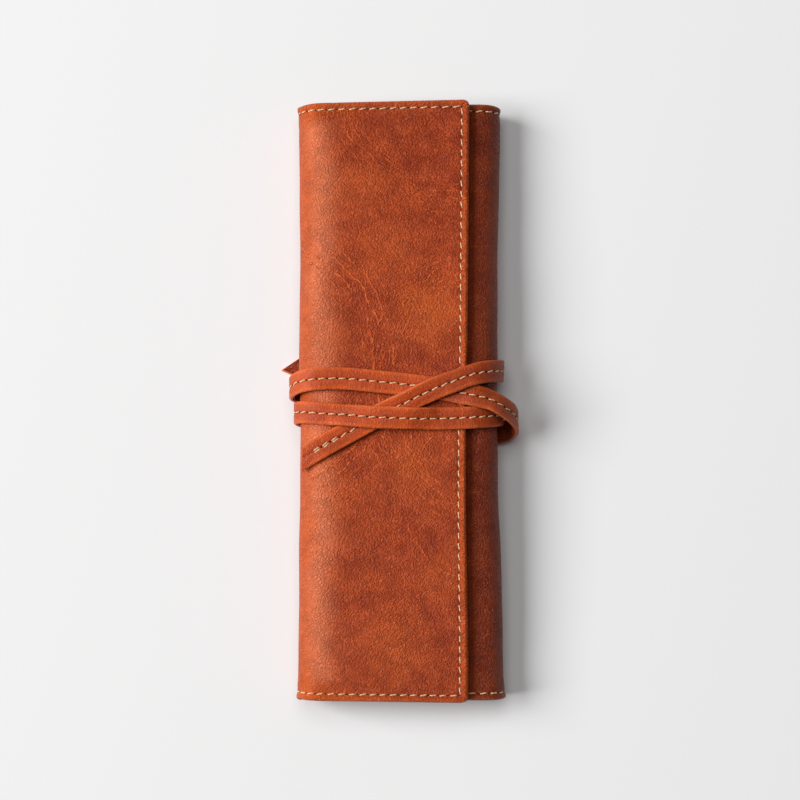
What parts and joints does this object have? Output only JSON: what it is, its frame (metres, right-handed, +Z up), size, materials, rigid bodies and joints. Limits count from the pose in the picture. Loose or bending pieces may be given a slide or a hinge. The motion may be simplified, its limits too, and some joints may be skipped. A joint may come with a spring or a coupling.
{
  "type": "pencil case",
  "caption": "Long leather pencil roll: a flap folds over sewn pencil channels and a shorter inner flap, held shut by a stitched strap wound round the middle.",
  "frame": {"origin": "on the surface that the case lies on, under the middle of the closed case", "axes": "+Z up, +Y along the case towards the mouths of the pencil channels, +X towards the free edge of the flap"},
  "size_m": [0.0854, 0.21, 0.0272],
  "materials": {
    "case_leather": "waxed pull-up leather, red-brown with lighter tan where it bends, fine pebbled grain, soft sheen",
    "strap_leather": "the same waxed leather, turned edges, a little lighter along its rounded edges",
    "pocket_leather": "thin soft matt leather",
    "lining_leather": "brushed suede side, matt",
    "cream_thread": "waxed cream polyester thread, twisted"
  },
  "bodies": {
    "back": {"back_leather": "case_leather", "back_lining": "lining_leather", "back_thread": "cream_thread", "pencil_pocket": "pocket_leather", "pocket_thread": "cream_thread"},
    "left_spine": {"left_spine_leather": "case_leather", "left_spine_lining": "lining_leather", "left_spine_thread": "cream_thread"},
    "flap": {"flap_leather": "case_leather", "flap_lining": "lining_leather", "flap_thread": "cream_thread"},
    "right_spine": {"right_spine_leather": "case_leather", "right_spine_lining": "lining_leather", "right_spine_thread": "cream_thread"},
    "inner_flap": {"inner_flap_leather": "case_leather", "inner_flap_lining": "lining_leather", "inner_flap_thread": "cream_thread"},
    "strap": {"strap_face": "strap_leather", "strap_backing": "strap_leather", "strap_thread": "cream_thread"}
  },
  "joints": [
    {"name": "left_spine_fold", "type": "hinge", "parent": "back", "child": "left_spine", "pos_m": [-0.03231, 0, 0.00726], "axis": [0, -1, 0], "range_deg": [0, 90], "deforming": ["strap_face", "strap_backing", "strap_thread"]},
    {"name": "flap_fold", "type": "hinge", "parent": "left_spine", "child": "flap", "pos_m": [-0.03231, 0, 0.01888], "axis": [0, -1, 0], "range_deg": [0, 90]},
    {"name": "right_spine_fold", "type": "hinge", "parent": "back", "child": "right_spine", "pos_m": [0.03263, 0, 0.00694], "axis": [0, 1, 0], "range_deg": [0, 90]},
    {"name": "inner_flap_fold", "type": "hinge", "parent": "right_spine", "child": "inner_flap", "pos_m": [0.03263, 0, 0.0162], "axis": [0, 1, 0], "range_deg": [0, 90]},
    {"name": "strap_slide", "type": "slide", "parent": "back", "child": "strap", "axis": [0, -1, 0], "range_m": [0, 0.13]}
  ],
  "couplings": [
    {"joint": "flap_fold", "follows": "left_spine_fold", "ratio": 1},
    {"joint": "right_spine_fold", "follows": "left_spine_fold", "ratio": 1},
    {"joint": "inner_flap_fold", "follows": "left_spine_fold", "ratio": 1}
  ]
}
